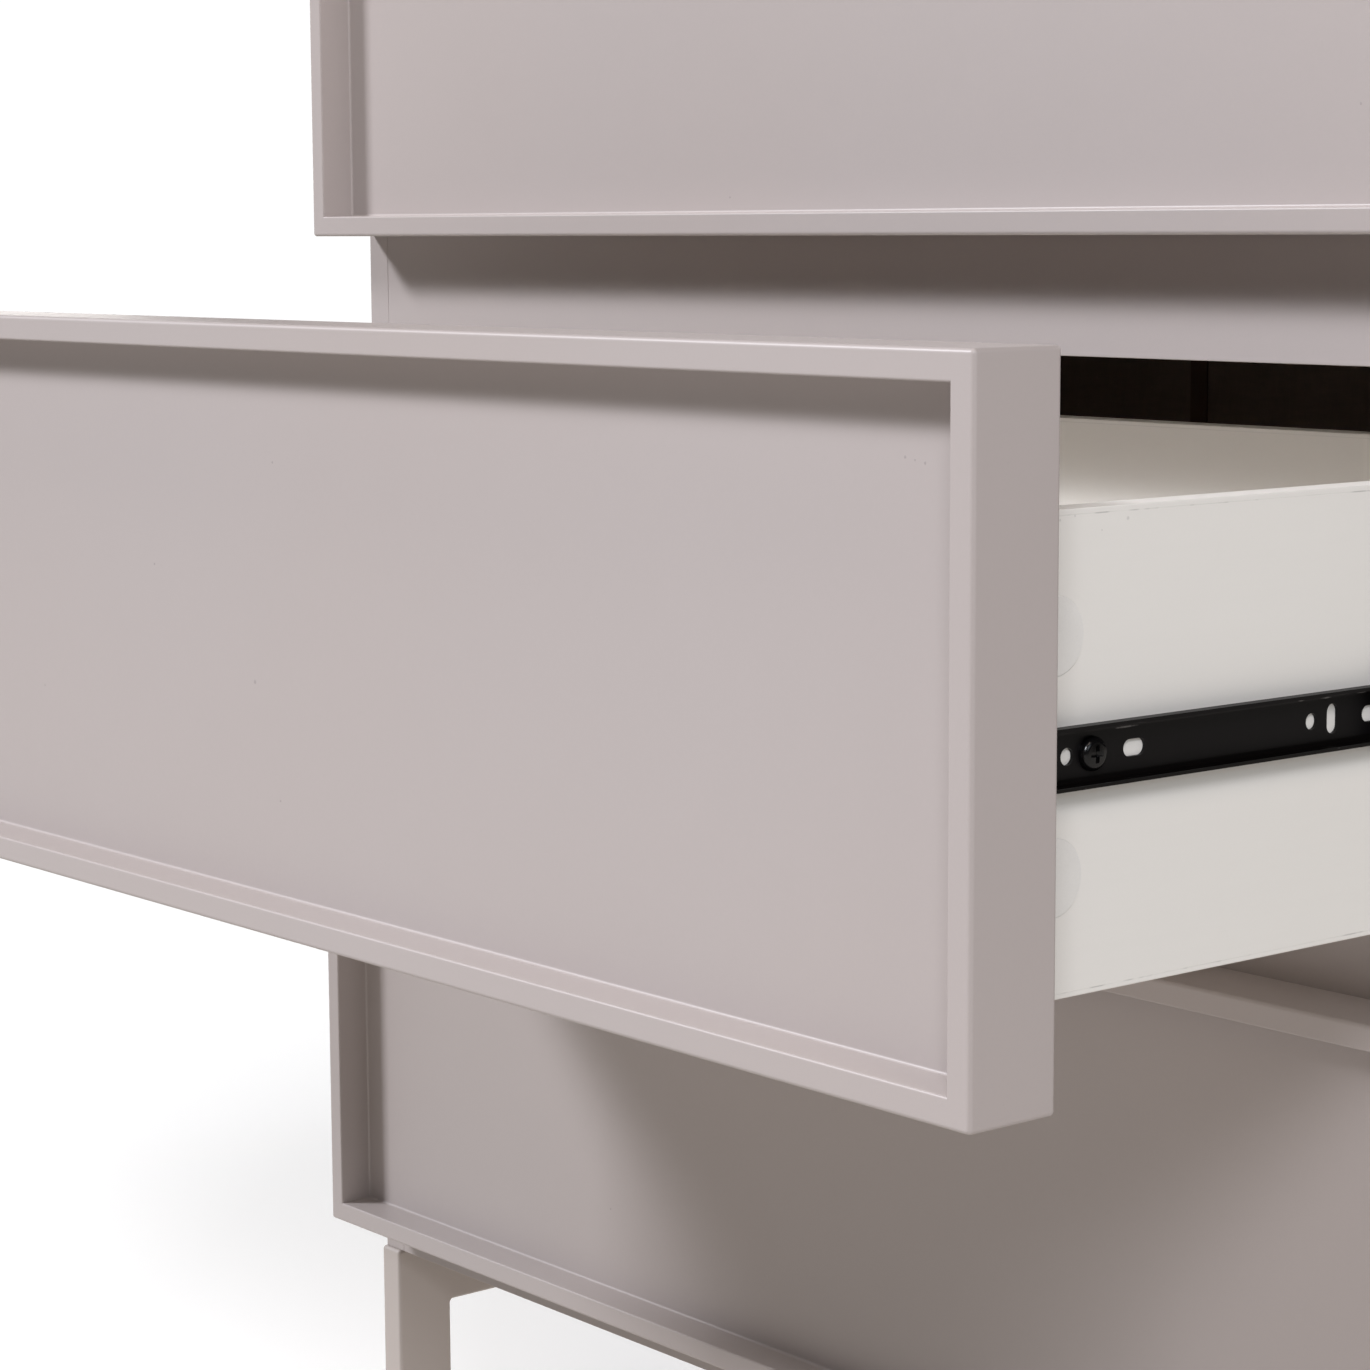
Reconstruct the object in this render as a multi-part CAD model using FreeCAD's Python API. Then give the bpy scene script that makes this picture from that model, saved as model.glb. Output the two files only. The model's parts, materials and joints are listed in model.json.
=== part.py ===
import FreeCAD, Part
import math
import os

V = FreeCAD.Vector
os.makedirs("parts", exist_ok=True)

# ---------------------------------------------------------------------------
# Chest of three drawers on two leg frames. Millimetres, +Z up.
# Frame: Z = 0 is the floor, X = 0 the middle of the width, the fronts face -Y.
# Y = 0 is midway between the carcass's back edge and the face of the middle
# drawer, which stands three quarters open. Top and bottom drawers are closed.
# ---------------------------------------------------------------------------

# carcass
carcass_width = 800.0
carcass_height = 800.0
overall_depth = 460.0          # closed front face to back edge
board = 16.0                   # panel thickness
leg_height = 150.0             # floor to underside of carcass
edge_round = 0.4               # softened edges of painted boards

# drawer fronts
front_width = 795.0
front_height = 230.0
front_depth = 36.0
front_gap = 30.5               # between neighbouring fronts
front_lift = 23.0              # lowest front above underside of carcass
front_clear = 1.0              # back of a closed front to the carcass edge
frame_bar = 10.0               # visible width of the raised frame
frame_recess = 18.0            # frame face to panel face
frame_round = 1.6
frame_inner_round = 0.9
panel_cove = 1.2               # filled hollow where panel and frame meet

# rails between the drawers
rail_cover = 19.0              # how far a rail reaches behind a front

# drawer boxes
box_length = 400.0
box_height = 152.0
box_lift = 27.0                # bottom of box above bottom of front
box_board = 12.0
box_bottom = 4.0
box_bottom_lift = 10.0
box_groove = 6.0
box_round = 0.5

# telescopic slides
slide_space = 12.7             # side panel to drawer box
slide_travel = 400.0
slide_length = 400.0
open_at = 300.0                # middle drawer as it stands
outer_height = 35.0
middle_height = 27.0
inner_height = 19.6
slide_metal = 1.2
middle_metal = 1.0
outer_setback = 3.0            # behind the carcass edge
inner_setback = 1.0            # behind the back of the front
middle_setback = 26.0
middle_length = 360.0

# back of the carcass
back_thick = 3.0
back_inset = 8.0               # back edge to back panel
back_groove_deep = 6.0
back_centre = 384.0            # width of the middle back sheet
strip_width = 12.0

# leg frames, rectangular tube
tube_wide = 16.0
tube_deep = 34.0
tube_wall = 1.5
tube_proud = 2.0
tube_round = 2.0
glide_plate = 4.0
glide_plug = 16.0

# ---------------------------------------------------------------------------
# derived positions
# ---------------------------------------------------------------------------
closed_face_y = -(overall_depth - open_at) / 2.0               # -80
back_y = closed_face_y + overall_depth                         # 380
carcass_y = closed_face_y + front_depth + front_clear          # -43
front_back_y = closed_face_y + front_depth                     # -44
half = carcass_width / 2.0
inner_half = half - board
floor_of_carcass = leg_height
top_of_carcass = leg_height + carcass_height

names = ("bottom", "middle", "top")
front_z = {}
for i, n in enumerate(names):
    front_z[n] = leg_height + front_lift + i * (front_height + front_gap)
shift_y = {"bottom": 0.0, "middle": -open_at, "top": 0.0}
mid_shift_y = {n: shift_y[n] / 2.0 for n in names}


def box(x0, x1, y0, y1, z0, z1):
    return Part.makeBox(x1 - x0, y1 - y0, z1 - z0, V(x0, y0, z0))


def rounded_box(x0, x1, y0, y1, z0, z1, r):
    s = box(x0, x1, y0, y1, z0, z1)
    if r <= 0:
        return s
    return s.makeFillet(r, s.Edges)


def cyl(r, h, p, d):
    return Part.makeCylinder(r, h, V(*p), V(*d))


def single(shape):
    shape = shape.removeSplitter()
    solids = shape.Solids
    if len(solids) != 1:
        raise ValueError("expected one solid, got %d" % len(solids))
    return solids[0]


def check(name, shape):
    if not shape.isValid():
        raise ValueError(name + " is not valid")
    for s in shape.Solids:
        if s.Volume <= 0 or not s.isClosed():
            raise ValueError(name + " is not a closed solid")


written = []


def out(name, shape):
    check(name, shape)
    shape.exportStep("parts/" + name + ".step")
    written.append((name, len(shape.Solids), shape.Volume))


# ---------------------------------------------------------------------------
# carcass boards
# ---------------------------------------------------------------------------
groove_y0 = back_y - back_inset - back_thick - 0.2
groove_y1 = back_y - back_inset + 0.2

top_panel = rounded_box(-half, half, carcass_y, back_y,
                        top_of_carcass - board, top_of_carcass, edge_round)
top_panel = top_panel.cut(box(-inner_half - back_groove_deep,
                              inner_half + back_groove_deep,
                              groove_y0, groove_y1,
                              top_of_carcass - board - 1.0,
                              top_of_carcass - board + back_groove_deep))
out("top_panel", single(top_panel))

for side, sx in (("left", -1.0), ("right", 1.0)):
    a, b = sorted((sx * half, sx * inner_half))
    s = rounded_box(a, b, carcass_y, back_y,
                    floor_of_carcass, top_of_carcass - board, edge_round)
    g0, g1 = sorted((sx * (inner_half - 1.0), sx * (inner_half + back_groove_deep)))
    s = s.cut(box(g0, g1, groove_y0, groove_y1,
                  floor_of_carcass + board - back_groove_deep,
                  top_of_carcass - board + 1.0))
    out("side_panel_" + side, single(s))

s = rounded_box(-inner_half, inner_half, carcass_y + board, back_y,
                floor_of_carcass, floor_of_carcass + board, edge_round)
s = s.cut(box(-inner_half - 1.0, inner_half + 1.0, groove_y0, groove_y1,
              floor_of_carcass + board - back_groove_deep,
              floor_of_carcass + board + 1.0))
out("bottom_panel", single(s))

rails = {
    "front_rail_bottom": (floor_of_carcass, front_z["bottom"] + rail_cover),
    "front_rail_lower": (front_z["bottom"] + front_height - rail_cover,
                         front_z["middle"] + rail_cover),
    "front_rail_upper": (front_z["middle"] + front_height - rail_cover,
                         front_z["top"] + rail_cover),
    "front_rail_top": (front_z["top"] + front_height - rail_cover,
                       top_of_carcass - board),
}
for name, (z0, z1) in rails.items():
    out(name, rounded_box(-inner_half, inner_half, carcass_y, carcass_y + board,
                          z0, z1, edge_round))

# back in three sheets, joined by two strips of H section
back_z0 = floor_of_carcass + board - back_groove_deep + 0.5
back_z1 = top_of_carcass - board + back_groove_deep - 0.5
back_y0 = back_y - back_inset - back_thick
back_y1 = back_y - back_inset
joint_x = back_centre / 2.0
edge_x = inner_half + back_groove_deep - 0.5
for name, x0, x1 in (("back_panel_left", -edge_x, -joint_x - 0.7),
                     ("back_panel_centre", -joint_x + 0.7, joint_x - 0.7),
                     ("back_panel_right", joint_x + 0.7, edge_x)):
    out(name, box(x0, x1, back_y0, back_y1, back_z0, back_z1))
strips = []
for jx in (-joint_x, joint_x):
    z0, z1 = floor_of_carcass + board + 0.3, top_of_carcass - board - 0.3
    w = strip_width / 2.0
    h = box(jx - w, jx + w, back_y0 - 1.0, back_y0 - 0.1, z0, z1)
    h = h.fuse(box(jx - w, jx + w, back_y1 + 0.1, back_y1 + 1.0, z0, z1))
    h = h.fuse(box(jx - 0.5, jx + 0.5, back_y0 - 0.5, back_y1 + 0.5, z0, z1))
    strips.append(single(h))
out("back_joint_strips", Part.makeCompound(strips))

# ---------------------------------------------------------------------------
# leg frames: two legs and a rail of the same tube, welded into an inverted U
# ---------------------------------------------------------------------------
leg_front_y = carcass_y - tube_proud
bolt_y = (40.0, 300.0)
bolt_r = 3.0
bolts = []
glides = []
for side, sx in (("left", -1.0), ("right", 1.0)):
    xo = sx * (half + tube_proud)
    xi = sx * (half + tube_proud - tube_wide)
    a, b = sorted((xo, xi))
    # outline of the U in the YZ plane
    y0, y1, y2, y3 = leg_front_y, leg_front_y + tube_deep, back_y - tube_deep, back_y
    z0, z1, z2 = glide_plate, leg_height - tube_deep, leg_height
    pts = [V(a, y0, z0), V(a, y1, z0), V(a, y1, z1), V(a, y2, z1), V(a, y2, z0),
           V(a, y3, z0), V(a, y3, z2), V(a, y0, z2), V(a, y0, z0)]
    u = Part.Face(Part.makePolygon(pts)).extrude(V(b - a, 0, 0))
    long_edges = [e for e in u.Edges
                  if not (abs(e.BoundBox.ZMin - z0) < 1e-6 and e.BoundBox.ZLength < 1e-6)]
    u = u.makeFillet(tube_round, long_edges)
    w = tube_wall
    pts = [V(a + w, y0 + w, z0 - 5), V(a + w, y1 - w, z0 - 5), V(a + w, y1 - w, z1 + w),
           V(a + w, y2 + w, z1 + w), V(a + w, y2 + w, z0 - 5), V(a + w, y3 - w, z0 - 5),
           V(a + w, y3 - w, z2 - w), V(a + w, y0 + w, z2 - w), V(a + w, y0 + w, z0 - 5)]
    hollow = Part.Face(Part.makePolygon(pts)).extrude(V(b - a - 2 * w, 0, 0))
    u = u.cut(hollow)
    bx = sx * (half - 7.0)
    for by in bolt_y:
        u = u.cut(cyl(bolt_r + 0.25, tube_deep + 2, (bx, by, z1 - 1), (0, 0, 1)))
        head = cyl(6.0, 3.0, (bx, by, z1 - 3.0), (0, 0, 1))
        head = head.makeFillet(1.2, [e for e in head.Edges
                                     if abs(e.BoundBox.ZMax - (z1 - 3.0)) < 1e-6
                                     and e.Length > 20])
        hexa = []
        for k in range(7):
            t = math.radians(60.0 * k)
            hexa.append(V(bx + 2.3 * math.cos(t), by + 2.3 * math.sin(t), z1 - 3.5))
        socket = Part.Face(Part.makePolygon(hexa)).extrude(V(0, 0, 2.3))
        shank = cyl(bolt_r, tube_deep + 12.0, (bx, by, z1 - 0.5), (0, 0, 1))
        bolts.append(single(head.fuse(shank).cut(socket)))
    out("leg_frame_" + side, single(u))
    for ya, yb in ((y0, y1), (y2, y3)):
        plate = box(a, b, ya, yb, 0.0, glide_plate)
        plate = plate.makeFillet(1.0, plate.Edges)
        plug = box(a + w + 0.1, b - w - 0.1, ya + w + 0.1, yb - w - 0.1,
                   glide_plate - 1.5, glide_plate + glide_plug)
        glides.append(single(plate.fuse(plug)))
out("leg_frame_bolts", Part.makeCompound(bolts))
out("foot_glides", Part.makeCompound(glides))


# ---------------------------------------------------------------------------
# telescopic slides. u runs from the cabinet side (0) to the drawer box (12.7),
# w is the height above the slide's centre line.
# ---------------------------------------------------------------------------
def profile(points, sx, y0, length, zc, rounds):
    x_at = lambda u: sx * (inner_half - u)
    pts = [V(x_at(u), y0, zc + w) for u, w in points]
    pts.append(pts[0])
    f = Part.Face(Part.makePolygon(pts))
    s = f.extrude(V(0, length, 0))
    for (u, w), r in rounds:
        target = V(x_at(u), y0 + length / 2.0, zc + w)
        near = [e for e in s.Edges
                if abs(e.BoundBox.YLength - length) < 1e-4
                and abs(e.BoundBox.Center.x - target.x) < 1e-3
                and abs(e.BoundBox.Center.z - target.z) < 1e-3]
        if len(near) == 1:
            s = s.makeFillet(r, near)
        else:
            raise ValueError("profile corner not found")
    return s


def channel(kind, sx, y0, length, zc):
    if kind == "outer":
        h, m, e, lip = outer_height / 2.0, slide_metal, 10.5, 14.4
        pts = [(0, -h), (e, -h), (e, -lip), (e - m, -lip), (e - m, -h + m), (m, -h + m),
               (m, h - m), (e - m, h - m), (e - m, lip), (e, lip), (e, h), (0, h)]
        rounds = [((0, -h), 2.0), ((0, h), 2.0), ((e, -h), 1.8), ((e, h), 1.8),
                  ((m, -h + m), 0.8), ((m, h - m), 0.8),
                  ((e - m, -h + m), 0.6), ((e - m, h - m), 0.6)]
    elif kind == "middle":
        h, m, a, e, lip = middle_height / 2.0, middle_metal, 4.0, 11.3, 11.4
        pts = [(a, -h), (e, -h), (e, -lip), (e - m, -lip), (e - m, -h + m), (a + m, -h + m),
               (a + m, h - m), (e - m, h - m), (e - m, lip), (e, lip), (e, h), (a, h)]
        rounds = [((a, -h), 1.8), ((a, h), 1.8), ((e, -h), 1.6), ((e, h), 1.6),
                  ((a + m, -h + m), 0.8), ((a + m, h - m), 0.8),
                  ((e - m, -h + m), 0.6), ((e - m, h - m), 0.6)]
    else:
        h, m, a, e = inner_height / 2.0, slide_metal, 6.0, slide_space
        pts = [(e, -h), (a, -h), (a, -h + m), (e - m, -h + m),
               (e - m, h - m), (a, h - m), (a, h), (e, h)]
        rounds = [((e, -h), 3.0), ((e, h), 3.0),
                  ((e - m, -h + m), 1.8), ((e - m, h - m), 1.8)]
    return profile(pts, sx, y0, length, zc, rounds)


def web_hole(sx, u0, u1, y, z, wide, tall):
    # opening through a web, long axis along Y or along Z
    xa = sx * (inner_half - (u0 - 1.0))
    length = (u1 - u0) + 2.0
    d = (-sx, 0, 0)
    r = min(wide, tall) / 2.0
    if abs(wide - tall) < 1e-6:
        return cyl(r, length, (xa, y, z), d)
    if wide > tall:
        o = wide / 2.0 - r
        s = cyl(r, length, (xa, y - o, z), d).fuse(cyl(r, length, (xa, y + o, z), d))
        x0, x1 = sorted((xa, xa - sx * length))
        return s.fuse(box(x0, x1, y - o, y + o, z - r, z + r)).removeSplitter()
    o = tall / 2.0 - r
    s = cyl(r, length, (xa, y, z - o), d).fuse(cyl(r, length, (xa, y, z + o), d))
    x0, x1 = sorted((xa, xa - sx * length))
    return s.fuse(box(x0, x1, y - r, y + r, z - o, z + o)).removeSplitter()


def screw(p, d, head_r, head_h, shank_r, shank_l):
    # pan head lying on the surface at p, shank running along -d; d is outward
    sh = head_h * 0.72                     # radius of the shoulder
    crown = head_h * 0.08                  # rise of the middle over the shoulder
    hs = head_h - crown
    mid = V(head_r - sh + sh * math.cos(math.pi / 4), 0, hs - sh + sh * math.sin(math.pi / 4))
    rc = head_r - sh
    top_r = (rc * rc + crown * crown) / (2.0 * crown)
    ang = math.asin(rc / top_r) / 2.0
    mid_top = V(top_r * math.sin(ang), 0, head_h - top_r + top_r * math.cos(ang))
    tip = 2.5
    edges = [
        Part.LineSegment(V(0, 0, -shank_l), V(shank_r, 0, -shank_l + tip)).toShape(),
        Part.LineSegment(V(shank_r, 0, -shank_l + tip), V(shank_r, 0, 0)).toShape(),
        Part.LineSegment(V(shank_r, 0, 0), V(head_r, 0, 0)).toShape(),
        Part.LineSegment(V(head_r, 0, 0), V(head_r, 0, hs - sh)).toShape(),
        Part.Arc(V(head_r, 0, hs - sh), mid, V(rc, 0, hs)).toShape(),
        Part.Arc(V(rc, 0, hs), mid_top, V(0, 0, head_h)).toShape(),
        Part.LineSegment(V(0, 0, head_h), V(0, 0, -shank_l)).toShape(),
    ]
    s = Part.Face(Part.Wire(edges)).revolve(V(0, 0, 0), V(0, 0, 1), 360)
    s = Part.Solid(s.Shells[0]) if s.ShapeType != "Solid" else s
    # cross recess, four tapering arms
    deep = head_h * 0.62
    arm, wide = head_r * 0.58, head_r * 0.16
    for k in range(2):
        top = [V(-arm, -wide, head_h + 0.3), V(arm, -wide, head_h + 0.3),
               V(arm, wide, head_h + 0.3), V(-arm, wide, head_h + 0.3)]
        k2 = 0.45
        low = [V(-arm * k2, -wide * 0.7, head_h - deep), V(arm * k2, -wide * 0.7, head_h - deep),
               V(arm * k2, wide * 0.7, head_h - deep), V(-arm * k2, wide * 0.7, head_h - deep)]
        wt = Part.makePolygon(top + [top[0]])
        wl = Part.makePolygon(low + [low[0]])
        cutter = Part.makeLoft([wt, wl], True, True)
        if k:
            cutter.rotate(V(0, 0, 0), V(0, 0, 1), 90)
        s = s.cut(cutter)
    rot = FreeCAD.Rotation(V(0, 0, 1), V(*d))
    s.Placement = FreeCAD.Placement(V(*p), rot).multiply(s.Placement)
    return single(s)


# features of the drawer member, measured back from the front of the drawer box
inner_features = [          # (distance, length along the slide, height)
    (29.0, 5.5, 5.5), (59.0, 10.0, 5.5), (143.0, 5.5, 5.5), (153.5, 5.5, 10.0),
    (173.5, 10.0, 5.5), (231.0, 5.5, 5.5), (268.0, 10.0, 5.5), (301.0, 5.5, 10.0),
    (333.0, 10.0, 5.5), (381.0, 5.5, 5.5),
]
inner_screws = (39.6, 249.0, 357.0)
outer_features = [(18.0, 5.5, 5.5), (54.0, 10.0, 5.5), (112.0, 5.5, 10.0), (150.0, 10.0, 5.5),
                  (214.0, 5.5, 10.0), (262.0, 10.0, 5.5), (310.0, 5.5, 10.0),
                  (338.0, 10.0, 5.5), (386.0, 5.5, 5.5)]
outer_screws = (35.0, 182.0, 362.0)
middle_features = [(20.0, 5.5, 5.5), (62.0, 12.0, 9.0), (141.0, 12.0, 9.0),
                   (220.0, 12.0, 9.0), (299.0, 12.0, 9.0), (340.0, 5.5, 5.5)]

cabinet_screws = []
for n in names:
    zc = front_z[n] + box_lift + box_height / 2.0
    for side, sx in (("left", -1.0), ("right", 1.0)):
        # cabinet member
        y0 = carcass_y + outer_setback
        s = channel("outer", sx, y0, slide_length, zc)
        for dist, wd, tl in outer_features:
            s = s.cut(web_hole(sx, 0.0, slide_metal, y0 + dist, zc, wd, tl))
        for dist in outer_screws:
            s = s.cut(web_hole(sx, 0.0, slide_metal, y0 + dist, zc, 4.4, 4.4))
            p = (sx * (inner_half - slide_metal), y0 + dist, zc)
            cabinet_screws.append(screw(p, (-sx, 0, 0), 4.2, 2.0, 1.9, 14.0))
        out("slide_outer_%s_%s" % (n, side), single(s))
        # middle member
        y0 = front_back_y + middle_setback + mid_shift_y[n]
        s = channel("middle", sx, y0, middle_length, zc)
        for dist, wd, tl in middle_features:
            s = s.cut(web_hole(sx, 4.0, 5.0, y0 + dist, zc, wd, tl))
        out("slide_middle_%s_%s" % (n, side), single(s))
        # drawer member
        y0 = front_back_y + inner_setback + shift_y[n]
        s = channel("inner", sx, y0, slide_length - 1.0, zc)
        yb = front_back_y + shift_y[n]
        for dist, wd, tl in inner_features:
            s = s.cut(web_hole(sx, slide_space - slide_metal, slide_space, yb + dist, zc, wd, tl))
        for dist in inner_screws:
            s = s.cut(web_hole(sx, slide_space - slide_metal, slide_space, yb + dist, zc, 4.4, 4.4))
        out("slide_inner_%s_%s" % (n, side), single(s))
out("cabinet_slide_screws", Part.makeCompound(cabinet_screws))

# ---------------------------------------------------------------------------
# drawers
# ---------------------------------------------------------------------------
box_x = inner_half - slide_space
for n in names:
    z0 = front_z[n]
    y0 = closed_face_y + shift_y[n]
    hx = front_width / 2.0
    # raised frame round the front
    f = rounded_box(-hx, hx, y0, y0 + front_depth, z0, z0 + front_height, frame_round)
    f = f.cut(box(-hx + frame_bar, hx - frame_bar, y0 - 1, y0 + front_depth + 1,
                  z0 + frame_bar, z0 + front_height - frame_bar))
    inner = [e for e in f.Edges
             if abs(e.BoundBox.YMin - y0) < 1e-6 and e.BoundBox.YLength < 1e-6
             and e.BoundBox.XMin > -hx + frame_bar - 0.1 and e.BoundBox.XMax < hx - frame_bar + 0.1
             and e.BoundBox.ZMin > z0 + frame_bar - 0.1
             and e.BoundBox.ZMax < z0 + front_height - frame_bar + 0.1]
    if len(inner) != 4:
        raise ValueError("inner edges of the frame not found")
    f = f.makeFillet(frame_inner_round, inner)
    out(n + "_front_frame", single(f))
    # recessed panel
    px = hx - frame_bar
    p = box(-px, px, y0 + frame_recess - 0.7 * panel_cove, y0 + front_depth,
            z0 + frame_bar, z0 + front_height - frame_bar)
    hollow = box(-px, px, y0 - 5.0, y0 + frame_recess,
                 z0 + frame_bar, z0 + front_height - frame_bar)
    edges = [e for e in hollow.Edges
             if abs(e.BoundBox.YMin - (y0 + frame_recess)) < 1e-6]
    p = p.cut(hollow.makeFillet(panel_cove, edges))
    zb = z0 + box_lift
    yb = y0 + front_depth
    g0, g1 = zb + box_bottom_lift, zb + box_bottom_lift + box_bottom + 0.2
    p = p.cut(box(-box_x + box_board - box_groove, box_x - box_board + box_groove,
                  yb - box_groove, yb + 1, g0, g1))
    out(n + "_front_panel", single(p))
    # box
    for side, sx in (("left", -1.0), ("right", 1.0)):
        a, b = sorted((sx * box_x, sx * (box_x - box_board)))
        s = rounded_box(a, b, yb, yb + box_length, zb, zb + box_height, box_round)
        ga, gb = sorted((sx * (box_x - box_board - 1), sx * (box_x - box_board + box_groove)))
        s = s.cut(box(ga, gb, yb - 1, yb + box_length - box_board + box_groove, g0, g1))
        out("%s_box_side_%s" % (n, side), single(s))
    ix = box_x - box_board
    s = rounded_box(-ix, ix, yb + box_length - box_board, yb + box_length,
                    zb, zb + box_height, box_round)
    s = s.cut(box(-ix - 1, ix + 1, yb + box_length - box_board - 1,
                  yb + box_length - box_board + box_groove, g0, g1))
    out(n + "_box_back", single(s))
    t = box_groove - 0.5
    out(n + "_box_bottom", box(-ix - t, ix + t, yb - t, yb + box_length - box_board + t,
                               g0 + 0.1, g0 + 0.1 + box_bottom))
    # screws of the drawer members, round covers over the joint fittings
    zc = zb + box_height / 2.0
    scr, caps = [], []
    for sx in (-1.0, 1.0):
        for dist in inner_screws:
            pt = (sx * (box_x + slide_metal), yb + dist, zc)
            scr.append(screw(pt, (sx, 0, 0), 5.5, 3.0, 1.9, 11.5))
        for dz in (38.5, box_height - 38.5):
            c = cyl(12.5, 0.4, (sx * box_x, yb + 24.4, zb + dz), (sx, 0, 0))
            c = c.makeChamfer(0.15, [e for e in c.Edges
                                     if abs(abs(e.BoundBox.Center.x) - (box_x + 0.4)) < 1e-6
                                     and e.Length > 20])
            caps.append(c)
    out(n + "_slide_screws", Part.makeCompound(scr))
    out(n + "_cover_caps", Part.makeCompound(caps))

total = 0.0
for name, count, vol in written:
    total += vol
    print("%-28s %3d  %12.1f mm3" % (name, count, vol))
print(len(written), "files", round(total / 1e6, 2), "dm3")
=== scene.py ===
import json
import math

import bmesh
import bpy
from mathutils import Matrix, Vector

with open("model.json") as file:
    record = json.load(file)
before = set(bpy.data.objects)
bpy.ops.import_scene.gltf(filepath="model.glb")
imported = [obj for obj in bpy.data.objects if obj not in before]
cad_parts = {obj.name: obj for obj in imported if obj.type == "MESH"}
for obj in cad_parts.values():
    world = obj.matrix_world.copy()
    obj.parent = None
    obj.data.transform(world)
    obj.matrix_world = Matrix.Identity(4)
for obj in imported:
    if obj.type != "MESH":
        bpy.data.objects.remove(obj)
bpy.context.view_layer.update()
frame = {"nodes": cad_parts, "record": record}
nodes = frame["nodes"]
scene = bpy.context.scene

# ---------------------------------------------------------------------------
# measures of the chest, in metres
# ---------------------------------------------------------------------------
NAMES = ("bottom", "middle", "top")
BOX_Z = {"bottom": 0.200, "middle": 0.4605, "top": 0.721}      # underside of each drawer box
PITCH = 0.2605                                                 # from one drawer to the next
BOX_H = 0.152

# ---------------------------------------------------------------------------
# camera: same viewing angle as the photograph
# ---------------------------------------------------------------------------
YAW, PITCH_DOWN, ROLL = (math.radians(a) for a in (50.58342, 7.628225, 0.299958))
fwd = Vector((-math.sin(YAW) * math.cos(PITCH_DOWN), math.cos(YAW) * math.cos(PITCH_DOWN),
              -math.sin(PITCH_DOWN)))
right = Vector((math.cos(YAW), math.sin(YAW), 0.0))
down = fwd.cross(right)
r2 = right * math.cos(ROLL) + down * math.sin(ROLL)
d2 = -right * math.sin(ROLL) + down * math.cos(ROLL)
cam_data = bpy.data.cameras.new("camera")
cam_data.sensor_width = 36.0
cam_data.lens = 36.0 * 3426.5525 / 1370.0
cam = bpy.data.objects.new("camera", cam_data)
cam.matrix_world = Matrix(((r2.x, -d2.x, -fwd.x, 1.099766), (r2.y, -d2.y, -fwd.y, -1.063990),
                           (r2.z, -d2.z, -fwd.z, 0.698271), (0, 0, 0, 1)))
cam_data.clip_start, cam_data.clip_end = 0.05, 200.0
scene.collection.objects.link(cam)
scene.camera = cam

scene.view_settings.view_transform = "Standard"
scene.view_settings.look = "None"
scene.view_settings.exposure = 0.0
scene.view_settings.gamma = 1.0


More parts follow.
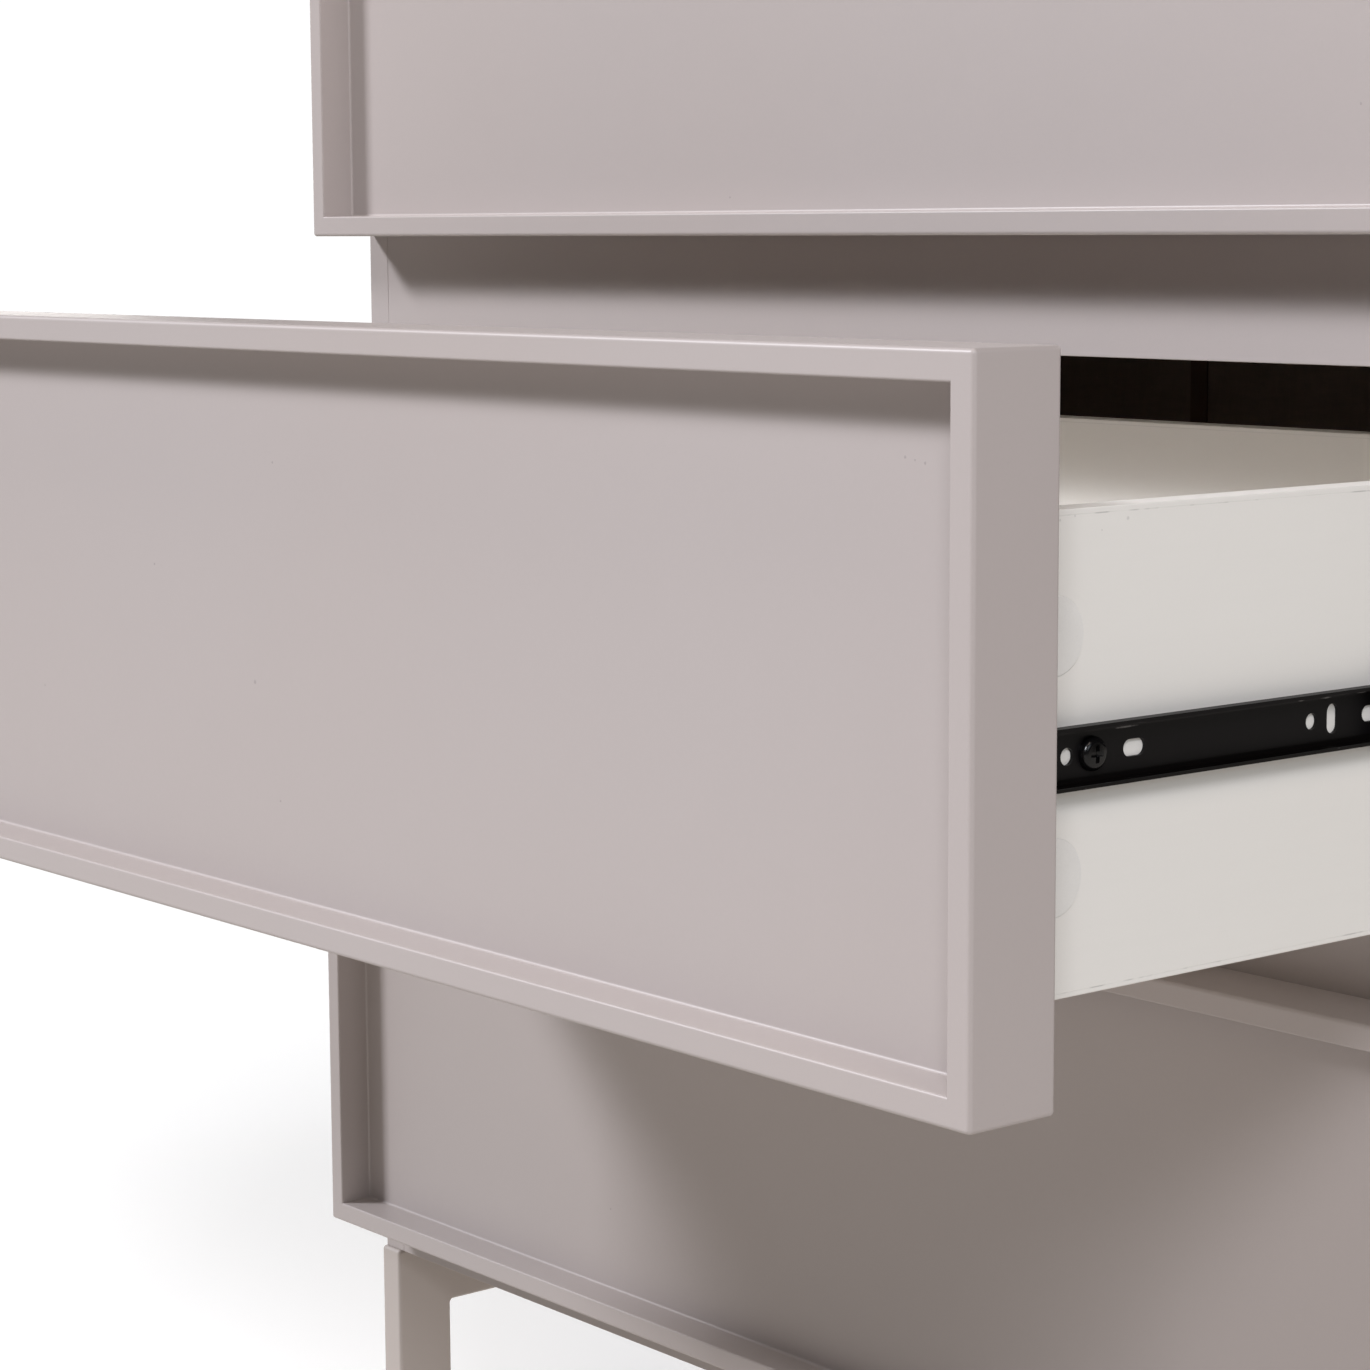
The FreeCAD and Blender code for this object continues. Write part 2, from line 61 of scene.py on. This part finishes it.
# ---------------------------------------------------------------------------
# a small set of helpers for node materials
# ---------------------------------------------------------------------------
class Mat:
    def __init__(self, name):
        self.m = bpy.data.materials.new(name)
        self.m.use_nodes = True
        self.t = self.m.node_tree
        self.t.nodes.clear()
        self.out = self.t.nodes.new("ShaderNodeOutputMaterial")
        self.bsdf = self.t.nodes.new("ShaderNodeBsdfPrincipled")
        self.t.links.new(self.bsdf.outputs[0], self.out.inputs[0])
        self.co = self.node("ShaderNodeTexCoord").outputs["Object"]
        self._face = None

    def node(self, kind, **props):
        n = self.t.nodes.new(kind)
        for k, v in props.items():
            setattr(n, k, v)
        return n

    def put(self, socket, value):
        if isinstance(value, bpy.types.NodeSocket):
            self.t.links.new(value, socket)
        elif value is not None:
            if hasattr(socket.default_value, "__len__") and hasattr(value, "__len__"):
                v = list(value)
                socket.default_value = v + [1.0] * (len(socket.default_value) - len(v))
            else:
                socket.default_value = value

    def math(self, op, a, b=None, c=None, clamp=False):
        n = self.node("ShaderNodeMath", operation=op, use_clamp=clamp)
        self.put(n.inputs[0], a)
        self.put(n.inputs[1], b)
        self.put(n.inputs[2], c)
        return n.outputs[0]

    def add(self, *v):
        r = v[0]
        for x in v[1:]:
            r = self.math("ADD", r, x)
        return r

    def mul(self, a, b):
        return self.math("MULTIPLY", a, b)

    def centred(self, v, amount):
        """v from 0..1 to -amount/2..amount/2"""
        return self.math("MULTIPLY_ADD", v, amount, -amount * 0.5)

    def vec(self, op, a, b=None, out=0):
        n = self.node("ShaderNodeVectorMath", operation=op)
        self.put(n.inputs[0], a)
        if b is not None:
            self.put(n.inputs[1], b)
        return n.outputs[out]

    def split(self, v):
        n = self.node("ShaderNodeSeparateXYZ")
        self.put(n.inputs[0], v)
        return n.outputs

    def join(self, x, y, z):
        n = self.node("ShaderNodeCombineXYZ")
        for s, v in zip(n.inputs, (x, y, z)):
            self.put(s, v)
        return n.outputs[0]

    def scaled(self, sx, sy, sz, v=None):
        return self.vec("MULTIPLY", v or self.co, (sx, sy, sz))

    def noise(self, scale, detail=2.0, rough=0.5, v=None, distort=0.0):
        n = self.node("ShaderNodeTexNoise", noise_dimensions="3D")
        self.put(n.inputs["Vector"], v or self.co)
        n.inputs["Scale"].default_value = scale
        n.inputs["Detail"].default_value = detail
        n.inputs["Roughness"].default_value = rough
        n.inputs["Distortion"].default_value = distort
        return n.outputs[0]

    def voronoi(self, scale, v=None, feature="F1", dims="2D", random=1.0):
        n = self.node("ShaderNodeTexVoronoi", voronoi_dimensions=dims, feature=feature)
        self.put(n.inputs["Vector"], v or self.co)
        n.inputs["Scale"].default_value = scale
        n.inputs["Randomness"].default_value = random
        return n

    def step(self, v, a, b, smooth=True):
        """0 below a, 1 above b (or the other way round if a > b)"""
        n = self.node("ShaderNodeMapRange", interpolation_type="SMOOTHSTEP" if smooth else "LINEAR")
        n.clamp = True
        self.put(n.inputs["Value"], v)
        lo, hi, x, y = (a, b, 0.0, 1.0) if a < b else (b, a, 1.0, 0.0)
        n.inputs["From Min"].default_value = lo
        n.inputs["From Max"].default_value = hi
        n.inputs["To Min"].default_value = x
        n.inputs["To Max"].default_value = y
        return n.outputs[0]

    def map(self, v, a, b, x, y):
        n = self.node("ShaderNodeMapRange")
        n.clamp = True
        self.put(n.inputs["Value"], v)
        for k, q in zip(("From Min", "From Max", "To Min", "To Max"), (a, b, x, y)):
            n.inputs[k].default_value = q
        return n.outputs[0]

    def mix(self, f, a, b, how="MIX"):
        n = self.node("ShaderNodeMix", data_type="RGBA", blend_type=how, clamp_factor=True)
        self.put(n.inputs["Factor"], f)
        self.put(n.inputs[6], a)
        self.put(n.inputs[7], b)
        return n.outputs[2]

    def shade(self, colour, value):
        """colour times a number"""
        n = self.node("ShaderNodeVectorMath", operation="SCALE")
        self.put(n.inputs[0], colour)
        self.put(n.inputs["Scale"], value)
        return n.outputs[0]

    def face_uv(self):
        """two coordinates in the plane of a flat face, whichever way it faces"""
        if self._face is None:
            nrm = self.node("ShaderNodeNewGeometry").outputs["Normal"]
            nx, ny, nz = self.split(self.vec("ABSOLUTE", nrm))
            x, y, z = self.split(self.co)
            fx = self.math("GREATER_THAN", nx, 0.7)
            fz = self.math("GREATER_THAN", nz, 0.7)
            # facing X: (y, z). facing Y: (x, z). facing Z: (x, y)
            u = self.add(self.mul(x, self.math("SUBTRACT", 1.0, fx)), self.mul(y, fx))
            w = self.add(self.mul(z, self.math("SUBTRACT", 1.0, fz)), self.mul(y, fz))
            side = self.add(self.mul(fx, 3.7), self.mul(fz, 7.9))
            self._face = self.join(self.math("ADD", u, side), w, 0.0)
        return self._face

    def edge(self, radius, samples=4):
        """0 on flat faces, rising towards 1 where two faces meet"""
        b = self.node("ShaderNodeBevel", samples=samples)
        b.inputs["Radius"].default_value = radius
        g = self.node("ShaderNodeNewGeometry").outputs["Normal"]
        return self.math("SUBTRACT", 1.0, self.vec("DOT_PRODUCT", b.outputs[0], g, out=1), clamp=True)

    def bump(self, height, strength, distance, normal=None):
        n = self.node("ShaderNodeBump")
        n.inputs["Strength"].default_value = strength
        n.inputs["Distance"].default_value = distance
        self.put(n.inputs["Height"], height)
        if normal is not None:
            self.put(n.inputs["Normal"], normal)
        return n.outputs[0]

    def specks(self, scale, size, share):
        """small round marks scattered on flat faces: 1 in a mark"""
        v = self.voronoi(scale, self.face_uv())
        keep = self.math("LESS_THAN", self.split(v.outputs["Color"])[0], share)
        jag = self.centred(self.noise(1800.0, 1.0), size * 0.9)
        d = self.add(v.outputs["Distance"], jag)
        return self.mul(self.step(d, size, size * 0.45), keep)

    def marks(self, places):
        """single small marks at given points of the object: (x, y, z, radius)"""
        total = None
        jag = self.centred(self.noise(1500.0, 2.0), 0.5)
        for x, y, z, r in places:
            d = self.vec("DISTANCE", self.co, (x, y, z), out=1)
            k = self.step(self.add(d, self.mul(jag, r)), r, r * 0.4)
            total = k if total is None else self.math("MAXIMUM", total, k)
        return total

    def set(self, **sockets):
        for k, v in sockets.items():
            self.put(self.bsdf.inputs[k.replace("_", " ")], v)
        return self.m


def srgb(r, g, b):
    """display colour 0..255 to linear"""
    return tuple(((c / 255 + 0.055) / 1.055) ** 2.4 if c > 10.3 else c / 255 / 12.92 for c in (r, g, b))


# ---------------------------------------------------------------------------
# materials
# ---------------------------------------------------------------------------
def paint(name, base, warm, rough=0.42, peel=0.30, spots=(), brushed=0.0):
    """satin paint: faint drift of tone, orange peel, rare specks, edges painted a little lighter as a highlight"""
    m = Mat(name)
    broad = m.noise(1.9, 2.0, 0.55)
    mottle = m.noise(31.0, 3.0, 0.6)
    grain = m.noise(700.0, 1.0)
    tone = m.add(1.0, m.centred(broad, 0.035), m.centred(mottle, 0.018), m.centred(grain, 0.022))
    tint = m.noise(3.3, 1.0, v=m.vec("ADD", m.co, (4.1, 2.2, 7.3)))
    colour = m.mix(m.map(tint, 0.35, 0.65, 0.0, 1.0), base, warm)
    colour = m.shade(colour, tone)
    edge = m.edge(0.0007)
    # painted highlight: a thin lighter line where two faces meet, broken up by noise
    painted_edge_highlight = m.mul(m.step(edge, 0.03, 0.35), m.map(m.noise(55.0, 3.0, 0.65), 0.42, 0.62, 0.10, 1.0))
    colour = m.mix(m.mul(painted_edge_highlight, 0.16), colour, tuple(min(1.0, c * 1.22) for c in base))
    speck = m.specks(11.0, 0.0075, 0.07)
    dust = m.specks(42.0, 0.010, 0.035)
    if spots:
        speck = m.math("MAXIMUM", speck, m.marks(spots))
    colour = m.mix(m.mul(speck, 0.38), colour, tuple(c * 0.45 for c in base))
    colour = m.mix(m.mul(dust, 0.20), colour, tuple(c * 0.55 for c in base))
    smudge = m.noise(6.5, 4.0, 0.62, distort=0.6)
    r = m.add(rough, m.centred(smudge, 0.09), m.centred(m.noise(260.0, 2.0), 0.05),
              m.mul(painted_edge_highlight, -0.06), m.mul(speck, 0.15))
    peel_h = m.add(m.mul(m.noise(210.0, 1.5, 0.45), 0.75), m.mul(m.noise(900.0, 1.0), 0.16),
                   m.mul(m.noise(28.0, 1.0), 0.8), m.mul(speck, 1.4), m.mul(dust, 0.8))
    if brushed:
        drawn = m.noise(330.0, 2.0, 0.6, v=m.scaled(1.0, 0.6, 0.05))
        peel_h = m.add(peel_h, m.mul(drawn, brushed))
    n = m.bump(peel_h, peel, 0.00011)
    return m.set(Base_Color=colour, Roughness=r, Normal=n, IOR=1.47)


def foil(name, base, spots):
    """off-white paper foil on board, with the joint of the edge band near each long edge"""
    m = Mat(name)
    x, y, z = m.split(m.co)
    broad = m.noise(2.6, 2.0)
    cloud = m.noise(24.0, 3.0, 0.6)
    print_grain = m.noise(95.0, 2.0, 0.6, v=m.scaled(1.0, 0.16, 2.2))
    fine = m.noise(1300.0, 1.0)
    tone = m.add(1.0, m.centred(broad, 0.03), m.centred(cloud, 0.016), m.centred(print_grain, 0.018),
                 m.centred(fine, 0.02))
    colour = m.shade(m.mix(m.noise(4.0, 1.0), base, tuple(c * k for c, k in zip(base, (1.0, 0.992, 0.97)))), tone)
    # height above the underside of the drawer box that the point belongs to
    h = m.math("FLOORED_MODULO", m.math("SUBTRACT", z, BOX_Z["bottom"] - 0.02), PITCH)
    up = m.math("ABSOLUTE", m.math("SUBTRACT", h, 0.02 + BOX_H - 0.0019))
    lo = m.math("ABSOLUTE", m.math("SUBTRACT", h, 0.02 + 0.0017))
    wob = m.centred(m.noise(14.0, 2.0, v=m.scaled(0.0, 1.0, 0.0)), 0.0002)
    near = m.math("MINIMUM", m.math("ABSOLUTE", m.add(up, wob)), m.math("ABSOLUTE", m.add(lo, wob)))
    faint = m.map(m.noise(26.0, 3.0, 0.7, v=m.scaled(0.3, 1.0, 0.0)), 0.38, 0.62, 0.25, 1.0)
    line = m.mul(m.step(near, 0.00022, 0.00006), faint)
    # short stretches where the band's glue line shows darker
    gap = m.mul(m.step(near, 0.00030, 0.00010), m.step(m.noise(38.0, 3.0, 0.75, v=m.scaled(0.0, 1.0, 0.0)), 0.52, 0.60))
    edge = m.edge(0.0012)
    grime = m.mul(m.step(edge, 0.02, 0.35), m.map(m.noise(60.0, 3.0, 0.7), 0.45, 0.65, 0.0, 1.0))
    colour = m.mix(m.mul(line, 0.20), colour, tuple(c * 0.50 for c in base))
    colour = m.mix(m.mul(gap, 0.48), colour, tuple(c * 0.40 for c in base))
    colour = m.mix(m.mul(grime, 0.10), colour, tuple(c * 0.62 for c in base))
    speck = m.math("MAXIMUM", m.specks(16.0, 0.009, 0.06), m.marks(spots))
    colour = m.mix(m.mul(speck, 0.32), colour, tuple(c * 0.42 for c in base))
    r = m.add(0.46, m.centred(m.noise(9.0, 3.0, 0.6), 0.10), m.centred(fine, 0.05), m.mul(line, 0.15))
    hgt = m.add(m.mul(m.noise(420.0, 2.0, 0.5), 0.5), m.mul(fine, 0.2), m.mul(line, -2.2), m.mul(print_grain, 0.3))
    return m.set(Base_Color=colour, Roughness=r, Normal=m.bump(hgt, 0.35, 0.00010), IOR=1.46)


def hardboard(name, base):
    """thin dark hardboard: felted fibres"""
    m = Mat(name)
    fib1 = m.noise(260.0, 3.0, 0.65, v=m.scaled(1.0, 1.0, 0.22), distort=0.8)
    fib2 = m.noise(260.0, 3.0, 0.65, v=m.scaled(0.22, 1.0, 1.0), distort=0.8)
    cloud = m.noise(7.0, 3.0, 0.6)
    tone = m.add(1.0, m.centred(fib1, 0.35), m.centred(fib2, 0.35), m.centred(cloud, 0.25))
    colour = m.shade(m.mix(cloud, base, tuple(c * k for c, k in zip(base, (1.15, 1.05, 0.95)))), tone)
    fleck = m.specks(70.0, 0.05, 0.18)
    colour = m.mix(m.mul(fleck, 0.35), colour, tuple(min(1.0, c * 1.9) for c in base))
    r = m.add(0.62, m.centred(fib1, 0.16), m.centred(cloud, 0.08))
    hgt = m.add(fib1, fib2, m.mul(m.noise(1200.0, 1.0), 0.4))
    return m.set(Base_Color=colour, Roughness=r, Normal=m.bump(hgt, 0.35, 0.00012))


def blacked_steel(name, base, rough=0.42, glints=(), shade_track=True, ior=1.26):
    """black electrocoat on rolled steel: fine grain along the slide, painted shade along the lower ball
    race, rubbed corners, painted glints at given points"""
    m = Mat(name)
    run = m.noise(420.0, 2.0, 0.6, v=m.scaled(1.0, 0.035, 1.0))
    cloud = m.noise(34.0, 3.0, 0.6)
    fine = m.noise(1700.0, 1.0)
    tone = m.add(1.0, m.centred(run, 0.26), m.centred(cloud, 0.30), m.centred(fine, 0.30))
    colour = m.shade(base, tone)
    r = m.add(rough, m.centred(cloud, 0.14), m.centred(run, 0.10))
    # painted shade: the lower ball race of the slide is painted darker where its bend lies in shade
    if shade_track:
        # height over the centre line of the slide that the point belongs to
        z = m.split(m.co)[2]
        w = m.math("FLOORED_MODULO", m.math("SUBTRACT", z, BOX_Z["bottom"] + 0.076 - 0.05), PITCH)
        w = m.math("SUBTRACT", w, 0.05)
        wob = m.centred(m.noise(30.0, 2.0, v=m.scaled(0.0, 1.0, 0.0)), 0.0006)
        painted_race_shade = m.mul(m.step(m.add(w, wob), -0.0062, -0.0072), m.step(w, -0.0125, -0.0115))
        race_shade_patches = m.map(m.noise(22.0, 3.0, 0.6, v=m.scaled(0.0, 1.0, 0.3)), 0.30, 0.55, 0.65, 1.0)
        painted_race_shade = m.mul(painted_race_shade, race_shade_patches)
        colour = m.mix(m.mul(painted_race_shade, 0.80), colour, (0.0016, 0.0012, 0.0009))
        r = m.add(r, m.mul(painted_race_shade, -0.06))
    edge = m.edge(0.0006)
    broken = m.map(m.noise(75.0, 4.0, 0.75, v=m.scaled(1.0, 0.35, 1.0)), 0.53, 0.68, 0.0, 1.0)
    rub = m.mul(m.step(edge, 0.08, 0.50), broken)
    scratch = m.step(m.noise(300.0, 2.0, 0.7, v=m.scaled(1.0, 0.02, 1.0)), 0.70, 0.78)
    scratch = m.mul(scratch, m.step(m.noise(18.0, 2.0), 0.52, 0.66))
    wear_and_glints = m.math("MAXIMUM", m.mul(rub, 0.30), m.mul(scratch, 0.05))
    # painted highlights: lighter bare-steel streaks set where the slide shows glints
    if glints:
        painted_glint = None
        for x, y, z, long, high in glints:
            dx, dy, dz = m.split(m.vec("MULTIPLY", m.vec("SUBTRACT", m.co, (x, y, z)), (300.0, 1.0 / long, 1.0 / high)))
            d = m.vec("LENGTH", m.join(m.mul(dx, 0.5), dy, dz), out=1)
            k = m.step(m.add(d, m.centred(m.noise(900.0, 2.0), 0.7)), 1.0, 0.35)
            painted_glint = k if painted_glint is None else m.math("MAXIMUM", painted_glint, k)
        wear_and_glints = m.math("MAXIMUM", wear_and_glints, m.mul(painted_glint, 0.55))
    colour = m.mix(wear_and_glints, colour, (0.26, 0.25, 0.25))
    r = m.add(r, m.mul(wear_and_glints, -0.06))
    hgt = m.add(m.mul(run, 0.6), m.mul(m.noise(520.0, 2.0), 0.7), m.mul(fine, 0.3), m.mul(scratch, -0.5))
    return m.set(Base_Color=colour, Metallic=m.mul(wear_and_glints, 0.8), Roughness=r,
                 Normal=m.bump(hgt, 0.30, 0.00006), IOR=ior)


def zinc(name, base, rough=0.34):
    """zinc plating with a faint passivated tint"""
    m = Mat(name)
    cloud = m.noise(210.0, 3.0, 0.6)
    spangle = m.voronoi(900.0, dims="3D").outputs["Color"]
    sp = m.split(spangle)[0]
    tone = m.add(1.0, m.centred(cloud, 0.25), m.centred(sp, 0.10))
    colour = m.shade(m.mix(m.noise(120.0, 2.0), base, tuple(c * k for c, k in zip(base, (1.04, 0.98, 0.86)))), tone)
    edge = m.edge(0.0006)
    colour = m.mix(m.mul(m.step(edge, 0.05, 0.5), 0.4), colour, (0.80, 0.80, 0.79))
    r = m.add(rough, m.centred(cloud, 0.18), m.centred(sp, 0.05))
    return m.set(Base_Color=colour, Metallic=1.0, Roughness=r,
                 Normal=m.bump(m.add(cloud, m.mul(sp, 0.3)), 0.25, 0.00006))


def moulded(name, base, rough=0.45):
    """injection-moulded plastic with a fine spark-eroded texture"""
    m = Mat(name)
    tex = m.noise(1500.0, 2.0, 0.6)
    cloud = m.noise(60.0, 3.0)
    colour = m.shade(base, m.add(1.0, m.centred(cloud, 0.12), m.centred(tex, 0.08)))
    edge = m.edge(0.0008)
    colour = m.mix(m.mul(m.step(edge, 0.05, 0.4), 0.25), colour, tuple(min(1.0, c * 1.5 + 0.01) for c in base))
    dirt = m.mul(m.noise(45.0, 4.0, 0.7), 0.06)
    r = m.add(rough, m.centred(cloud, 0.12), dirt)
    return m.set(Base_Color=colour, Roughness=r, Normal=m.bump(tex, 0.4, 0.00005))


PAINT = (0.416, 0.371, 0.359)
PAINT_WARM = (0.418, 0.369, 0.354)
FOIL = (0.745, 0.724, 0.692)
# painted light: a lighter copy of the foil that brightens the back and bottom inside each drawer box
FOIL_INSIDE_BRIGHTENED = (0.890, 0.860, 0.815)

# small flaws, and on the slide painted glints, each where it lies with the drawers as stored
PAINT_SPOTS = ((-0.0149, -0.3620, 0.5253, 0.0011), (0.3499, -0.3620, 0.6295, 0.0007),
               (0.3542, -0.3620, 0.6288, 0.0005), (0.3586, -0.3620, 0.6281, 0.0007),
               (-0.1800, -0.3620, 0.5076, 0.0006))
FOIL_SPOTS = ((0.3713, -0.2878, 0.6082, 0.0008), (0.3713, -0.3177, 0.6092, 0.0006),
              (0.3713, -0.3112, 0.6102, 0.0005), (0.3713, -0.2993, 0.6052, 0.0004))
# the slide's points are painted glints, not flaws: light streaks that stand in for highlights
SLIDE_GLINTS = ((0.3725, -0.2890, 0.5433, 0.0060, 0.0004), (0.3725, -0.2063, 0.5439, 0.0022, 0.0003),
                (0.3725, -0.1936, 0.5437, 0.0030, 0.0003), (0.3725, -0.1759, 0.5439, 0.0030, 0.0003),
                (0.3725, -0.1931, 0.5276, 0.0030, 0.0003))

M = {
    "painted_board": paint("satin_paint", PAINT, PAINT_WARM, spots=PAINT_SPOTS),
    "leg_paint": paint("leg_powder_coat", (0.462, 0.414, 0.386), (0.468, 0.412, 0.379), rough=0.46,
                       peel=0.45, brushed=0.25),
    "white_foil_board": foil("off_white_foil", FOIL, FOIL_SPOTS),
    "back_board": hardboard("dark_hardboard", (0.205, 0.155, 0.130)),
    "black_steel": blacked_steel("black_slide_steel", (0.0030, 0.0024, 0.0027), glints=SLIDE_GLINTS),
    "screw_steel": blacked_steel("black_screw_steel", (0.0030, 0.0028, 0.0030), rough=0.20, shade_track=False, ior=1.38),
    "zinc_steel": zinc("zinc_plated_steel", (0.62, 0.62, 0.60)),
    "bolt_steel": zinc("zinc_plated_bolts", (0.55, 0.55, 0.54), rough=0.30),
    "glide_plastic": moulded("black_glide_plastic", (0.022, 0.022, 0.022), 0.42),
    "cap_plastic": moulded("off_white_cap_plastic", (0.712, 0.694, 0.664), 0.42),
    "strip_plastic": moulded("dark_strip_plastic", (0.115, 0.060, 0.040), 0.50),
}

# painted light: the back and bottom of each box get this lighter foil to brighten the inside of the drawers
INSIDE = foil("off_white_foil_inside_painted_light", FOIL_INSIDE_BRIGHTENED, FOIL_SPOTS)
# the top is rubbed more matte than the fronts; at the satin gloss it mirrors a lamp from behind
TOP = paint("matte_paint_top", PAINT, PAINT_WARM, rough=0.76)

slot_of = {s["node"]: s["material_slot"] for s in frame["record"]["subparts"]}
for name, ob in nodes.items():
    ob.data.materials.clear()
    inside = name.endswith("_box_back") or name.endswith("_box_bottom")
    ob.data.materials.append(INSIDE if inside else TOP if name == "top_panel" else M[slot_of[name]])
    for p in ob.data.polygons:
        p.material_index = 0

# ---------------------------------------------------------------------------
# floor, light
# ---------------------------------------------------------------------------
def disc(name, radius, rings, segments):
    bm = bmesh.new()
    loops = []
    centre = bm.verts.new((0, 0, 0))
    for i in range(1, rings + 1):
        r = radius * (i / rings) ** 1.6
        loops.append([bm.verts.new((r * math.cos(2 * math.pi * k / segments),
                                    r * math.sin(2 * math.pi * k / segments), 0)) for k in range(segments)])
    for k in range(segments):
        bm.faces.new((centre, loops[0][k], loops[0][(k + 1) % segments]))
    for a, b in zip(loops, loops[1:]):
        for k in range(segments):
            bm.faces.new((a[k], b[k], b[(k + 1) % segments], a[(k + 1) % segments]))
    me = bpy.data.meshes.new(name)
    bm.to_mesh(me)
    bm.free()
    o = bpy.data.objects.new(name, me)
    scene.collection.objects.link(o)
    return o


floor = disc("studio_floor", 9.0, 12, 64)
f = Mat("pale_floor")
mottle = f.noise(3.0, 4.0, 0.6)
fine = f.noise(180.0, 2.0)
f.bsdf.inputs["Emission Color"].default_value = (1.0, 0.99, 0.98, 1.0)
f.bsdf.inputs["Emission Strength"].default_value = 0.12
f.set(Base_Color=f.shade((0.93, 0.925, 0.915), f.add(1.0, f.centred(mottle, 0.02), f.centred(fine, 0.012))),
      Roughness=f.add(0.62, f.centred(mottle, 0.08)), Normal=f.bump(fine, 0.15, 0.0002))
clear = f.node("ShaderNodeBsdfTransparent")
blend = f.node("ShaderNodeMixShader")
dist = f.vec("LENGTH", f.co, out=1)
f.t.links.new(f.step(dist, 0.9, 2.5), blend.inputs[0])
f.t.links.new(f.bsdf.outputs[0], blend.inputs[1])
f.t.links.new(clear.outputs[0], blend.inputs[2])
# what the floor throws back on the chest is less than its pale look suggests
bounce = f.node("ShaderNodeBsdfDiffuse")
bounce.inputs["Color"].default_value = (0.25, 0.25, 0.25, 1.0)
glow = f.node("ShaderNodeEmission")
glow.inputs["Color"].default_value = (1.0, 0.918, 0.823, 1.0)
glow.inputs["Strength"].default_value = 0.465
both = f.node("ShaderNodeAddShader")
f.t.links.new(bounce.outputs[0], both.inputs[0])
f.t.links.new(glow.outputs[0], both.inputs[1])
seen_by = f.node("ShaderNodeLightPath")
pick = f.node("ShaderNodeMixShader")
f.t.links.new(seen_by.outputs["Is Camera Ray"], pick.inputs[0])
f.t.links.new(both.outputs[0], pick.inputs[1])
f.t.links.new(blend.outputs[0], pick.inputs[2])
f.t.links.new(pick.outputs[0], f.out.inputs[0])
floor.data.materials.append(f.m)

world = bpy.data.worlds.new("studio")
scene.world = world
world.use_nodes = True
wt = world.node_tree
wt.nodes.clear()
wo = wt.nodes.new("ShaderNodeOutputWorld")
lit = wt.nodes.new("ShaderNodeBackground")
seen = wt.nodes.new("ShaderNodeBackground")
lit.inputs["Color"].default_value = (1.0, 0.985, 0.97, 1.0)
lit.inputs["Strength"].default_value = 0.015
seen.inputs["Color"].default_value = (1.0, 1.0, 1.0, 1.0)
seen.inputs["Strength"].default_value = 1.05
path = wt.nodes.new("ShaderNodeLightPath")
wmix = wt.nodes.new("ShaderNodeMixShader")
wt.links.new(path.outputs["Is Camera Ray"], wmix.inputs[0])
wt.links.new(lit.outputs[0], wmix.inputs[1])
wt.links.new(seen.outputs[0], wmix.inputs[2])
wt.links.new(wmix.outputs[0], wo.inputs[0])


def softbox(name, toward, dist, size, power, colour=(1, 1, 1), target=(0, -0.15, 0.5)):
    """area light that shines on target from the direction toward"""
    d = Vector(toward).normalized()
    data = bpy.data.lights.new(name, "AREA")
    data.shape = "RECTANGLE"
    data.size, data.size_y = size
    data.energy = power
    data.color = colour
    o = bpy.data.objects.new(name, data)
    o.location = Vector(target) + d * dist
    o.rotation_mode = "QUATERNION"
    o.rotation_quaternion = (-d).to_track_quat("-Z", "Y")
    scene.collection.objects.link(o)
    return o


AIM = (0.1, -0.185, 0.5)


def lamp(name, at, size, power, colour):
    toward = Vector(at) - Vector(AIM)
    return softbox(name, toward, toward.length, size, power, colour, AIM)


lamp("key_left", (-4.711, -4.926, 4.732), (1.645, 1.039), 609.0, (0.925, 0.945, 1.0))
lamp("key_right", (3.417, -3.404, 3.330), (1.464, 1.243), 172.0, (0.925, 0.945, 1.0))
lamp("top_right", (2.2, -0.6, 3.0), (1.0, 1.0), 20.0, (1.0, 0.86, 0.78))
lamp("side_right", (3.5, -0.4, 1.8), (1.5, 1.0), 15.5, (0.80, 0.90, 1.0))
lamp("overhead", (0.1, -0.858, 3.011), (0.5, 0.5), 7.5, (1.0, 0.88, 0.70))
# for the faces that the photograph doesn't show
lamp("rear", (0.0, 3.6, 1.9), (1.6, 1.2), 34.0, (1.0, 0.98, 0.95))
lamp("left", (-3.6, 0.9, 1.2), (1.4, 1.2), 22.0, (1.0, 0.98, 0.95))
